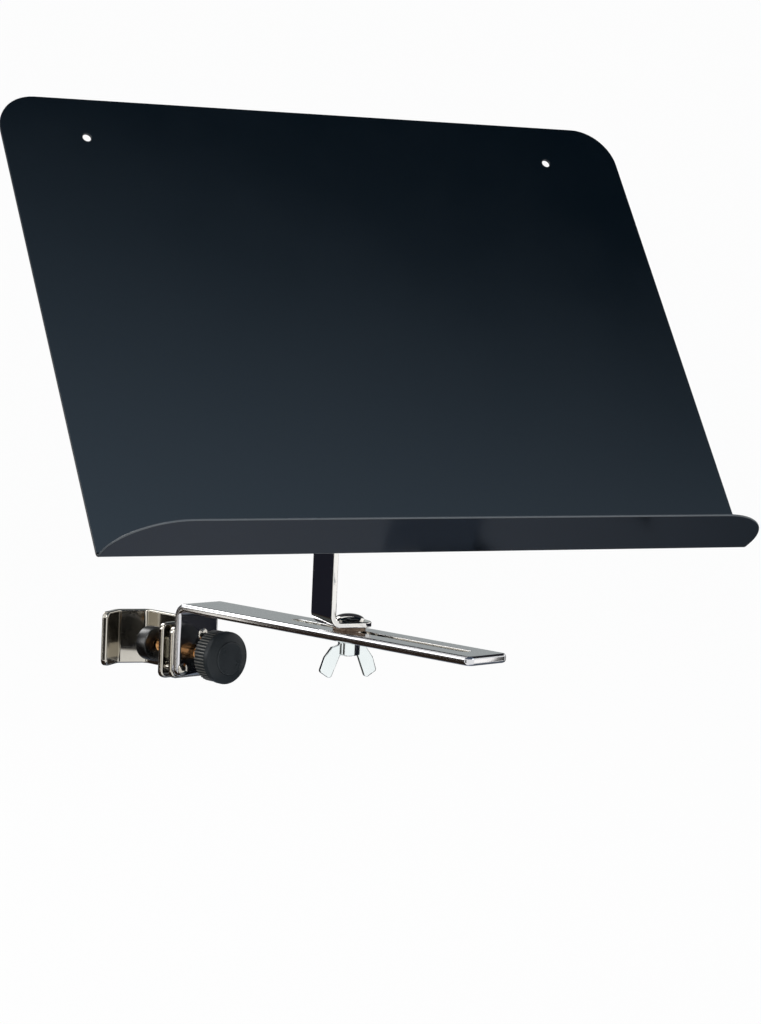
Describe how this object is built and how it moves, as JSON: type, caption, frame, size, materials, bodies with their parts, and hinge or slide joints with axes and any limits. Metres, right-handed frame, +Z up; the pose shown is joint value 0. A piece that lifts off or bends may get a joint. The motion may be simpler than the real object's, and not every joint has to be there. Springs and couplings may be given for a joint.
{
  "type": "document holder",
  "caption": "Desk plate with a bottom ledge that tilts on an upright strap, carried by a slotted arm with a screw clamp that grips a stand tube.",
  "frame": {"origin": "on the axis of the gripped stand tube, level with the clamp screw", "axes": "+Z up along the stand tube, +X along the desk to the reader's right, -Y towards the reader; the arm points 16.5 degrees from -Y towards +X"},
  "size_m": [0.37, 0.3475, 0.3218],
  "materials": {
    "desk_coat": "satin black powder coat",
    "nickel": "bright nickel plate",
    "zinc": "bluish bright zinc plate",
    "brass": "yellow passivated, bright",
    "black_plastic": "satin black",
    "cap_plastic": "smooth dark grey",
    "fibre": "brown vulcanised fibre",
    "nylon": "natural nylon"
  },
  "bodies": {
    "clamp": {"clamp_frame": "nickel", "arm": "nickel", "nut_keeper": "nickel", "clamp_nut": "zinc", "clamp_rivets": "nickel"},
    "pad": {"pressure_pad": "black_plastic"},
    "screw": {"clamp_screw": "brass", "knob": "black_plastic", "knob_bush": "brass", "knob_cap": "cap_plastic"},
    "carriage": {"swivel_washer": "fibre"},
    "upright": {"upright_strap": "nickel", "swivel_bolt": "zinc"},
    "lower_washer": {"swivel_nut_washer": "zinc"},
    "lower_nut": {"swivel_wing_nut": "zinc"},
    "desk": {"desk_plate": "desk_coat", "hinge_ear_right": "desk_coat", "hinge_ear_left": "desk_coat", "tilt_bolt": "zinc", "tilt_washers": "nylon"},
    "side_washer": {"tilt_nut_washer": "zinc"},
    "side_nut": {"tilt_wing_nut": "zinc"}
  },
  "joints": [
    {"name": "clamp_travel", "type": "slide", "parent": "clamp", "child": "pad", "axis": [0.284, -0.9588, 0], "range_m": [-0.0104, 0.016]},
    {"name": "knob_turn", "type": "hinge", "parent": "pad", "child": "screw", "pos_m": [0, 0, 0], "axis": [0.284, -0.9588, 0], "range_deg": [-3010, 4620]},
    {"name": "arm_slide", "type": "slide", "parent": "clamp", "child": "carriage", "axis": [0.284, -0.9588, 0], "range_m": [-0.0415, 0.087]},
    {"name": "swivel", "type": "hinge", "parent": "carriage", "child": "upright", "pos_m": [0.05107, -0.1724, 0.0315], "axis": [0, 0, 1], "range_deg": [-50, 84]},
    {"name": "swivel_nut_drop", "type": "slide", "parent": "upright", "child": "lower_washer", "axis": [0, 0, -1], "range_m": [0, 0.002]},
    {"name": "swivel_nut_turn", "type": "hinge", "parent": "lower_washer", "child": "lower_nut", "pos_m": [0.05107, -0.1724, 0.0224], "axis": [0, 0, -1], "range_deg": [0, 721]},
    {"name": "tilt", "type": "hinge", "parent": "upright", "child": "desk", "pos_m": [0.03507, -0.1724, 0.1965], "axis": [1, 0, 0], "range_deg": [-49, 30]},
    {"name": "tilt_nut_back", "type": "slide", "parent": "desk", "child": "side_washer", "axis": [1, 0, 0], "range_m": [0, 0.002]},
    {"name": "tilt_nut_turn", "type": "hinge", "parent": "side_washer", "child": "side_nut", "pos_m": [0.03507, -0.1724, 0.1965], "axis": [1, 0, 0], "range_deg": [0, 721]}
  ],
  "couplings": [
    {"joint": "knob_turn", "follows": "clamp_travel", "rad_per_m": 5026.5},
    {"joint": "swivel_nut_turn", "follows": "swivel_nut_drop", "rad_per_m": 6283.2},
    {"joint": "tilt_nut_turn", "follows": "tilt_nut_back", "rad_per_m": 6283.2}
  ]
}
